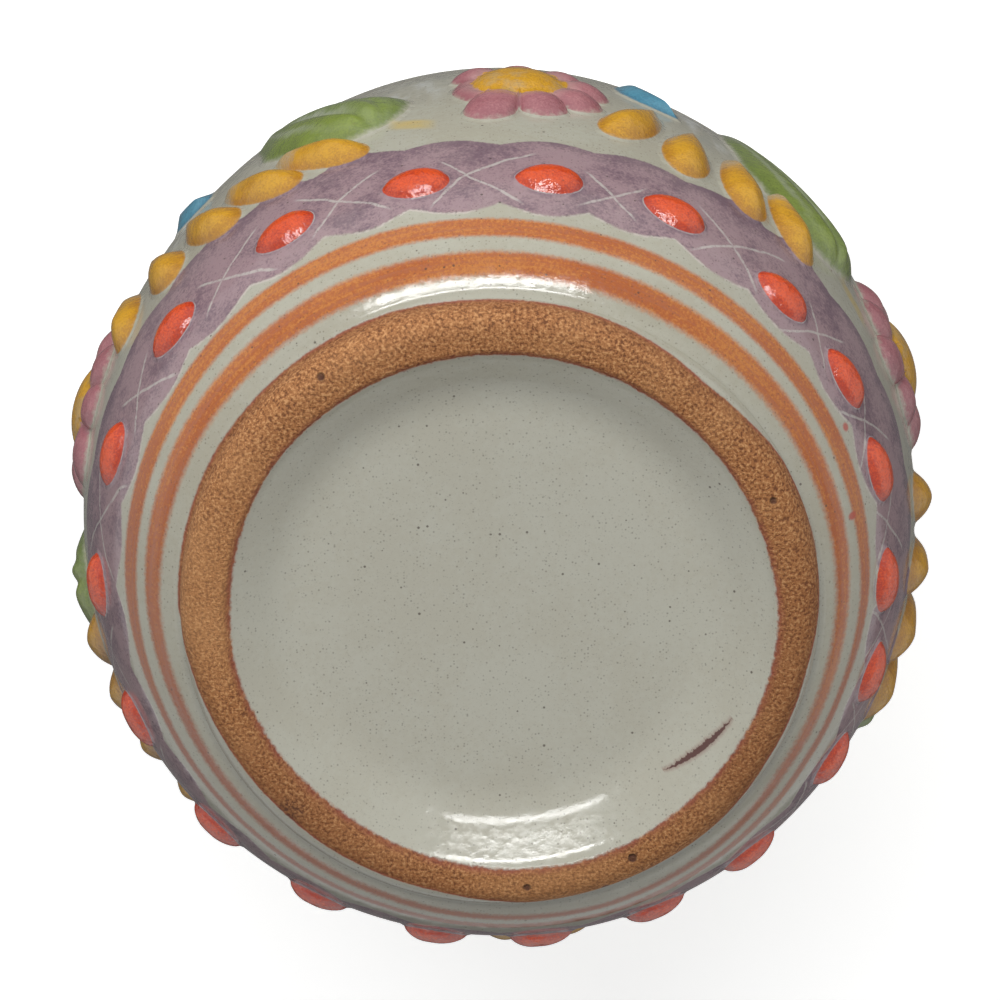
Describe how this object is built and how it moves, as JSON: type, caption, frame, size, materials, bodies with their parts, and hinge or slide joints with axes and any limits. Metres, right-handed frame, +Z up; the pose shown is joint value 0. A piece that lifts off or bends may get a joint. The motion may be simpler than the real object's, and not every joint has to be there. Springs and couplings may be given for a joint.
{
  "type": "ceramic tumbler",
  "caption": "Rounded stemless earthenware tumbler on a bare clay foot ring, glazed inside and out, with relief beads, drops, leaves, buds and flowers around its wall.",
  "frame": {"origin": "on the table plane, in the middle of the foot ring", "axes": "+Z up out of the mouth, along the pot's axis of turning; +X to the right in the picture of the underside, +Y towards the picture's lower edge"},
  "size_m": [0.0969, 0.0981, 0.102],
  "materials": {
    "tin_glaze": "glossy greyish white glaze with fine dark specks and hand-painted bands; bare sandy terracotta on the foot ring",
    "red_glaze": "glossy orange red glaze",
    "yellow_glaze": "glossy amber yellow glaze",
    "blue_glaze": "glossy turquoise blue glaze",
    "green_glaze": "glossy leaf green glaze",
    "pink_glaze": "glossy dusty pink glaze with an amber eye"
  },
  "bodies": {
    "root": {"clay_body": "tin_glaze", "red_bead_01": "red_glaze", "red_bead_02": "red_glaze", "red_bead_03": "red_glaze", "red_bead_04": "red_glaze", "red_bead_05": "red_glaze", "red_bead_06": "red_glaze", "red_bead_07": "red_glaze", "red_bead_08": "red_glaze", "red_bead_09": "red_glaze", "red_bead_10": "red_glaze", "red_bead_11": "red_glaze", "red_bead_12": "red_glaze", "red_bead_13": "red_glaze", "red_bead_14": "red_glaze", "red_bead_15": "red_glaze", "red_bead_16": "red_glaze", "red_bead_17": "red_glaze", "red_bead_18": "red_glaze", "red_bead_19": "red_glaze", "red_bead_20": "red_glaze", "yellow_drop_01": "yellow_glaze", "yellow_drop_02": "yellow_glaze", "yellow_drop_03": "yellow_glaze", "yellow_drop_04": "yellow_glaze", "yellow_drop_05": "yellow_glaze", "yellow_drop_06": "yellow_glaze", "yellow_drop_07": "yellow_glaze", "yellow_drop_08": "yellow_glaze", "yellow_drop_09": "yellow_glaze", "yellow_drop_10": "yellow_glaze", "yellow_drop_11": "yellow_glaze", "yellow_drop_12": "yellow_glaze", "yellow_drop_13": "yellow_glaze", "yellow_drop_14": "yellow_glaze", "yellow_drop_15": "yellow_glaze", "yellow_drop_16": "yellow_glaze", "yellow_drop_17": "yellow_glaze", "yellow_drop_18": "yellow_glaze", "yellow_drop_19": "yellow_glaze", "yellow_drop_20": "yellow_glaze", "yellow_drop_21": "yellow_glaze", "yellow_drop_22": "yellow_glaze", "blue_bud_1": "blue_glaze", "blue_bud_2": "blue_glaze", "blue_bud_3": "blue_glaze", "blue_bud_4": "blue_glaze", "blue_bud_5": "blue_glaze", "green_leaf_1": "green_glaze", "green_leaf_2": "green_glaze", "green_leaf_3": "green_glaze", "green_leaf_4": "green_glaze", "green_leaf_5": "green_glaze", "flower_1": "pink_glaze", "flower_2": "pink_glaze", "flower_3": "pink_glaze", "flower_4": "pink_glaze", "flower_5": "pink_glaze"}
  },
  "joints": []
}
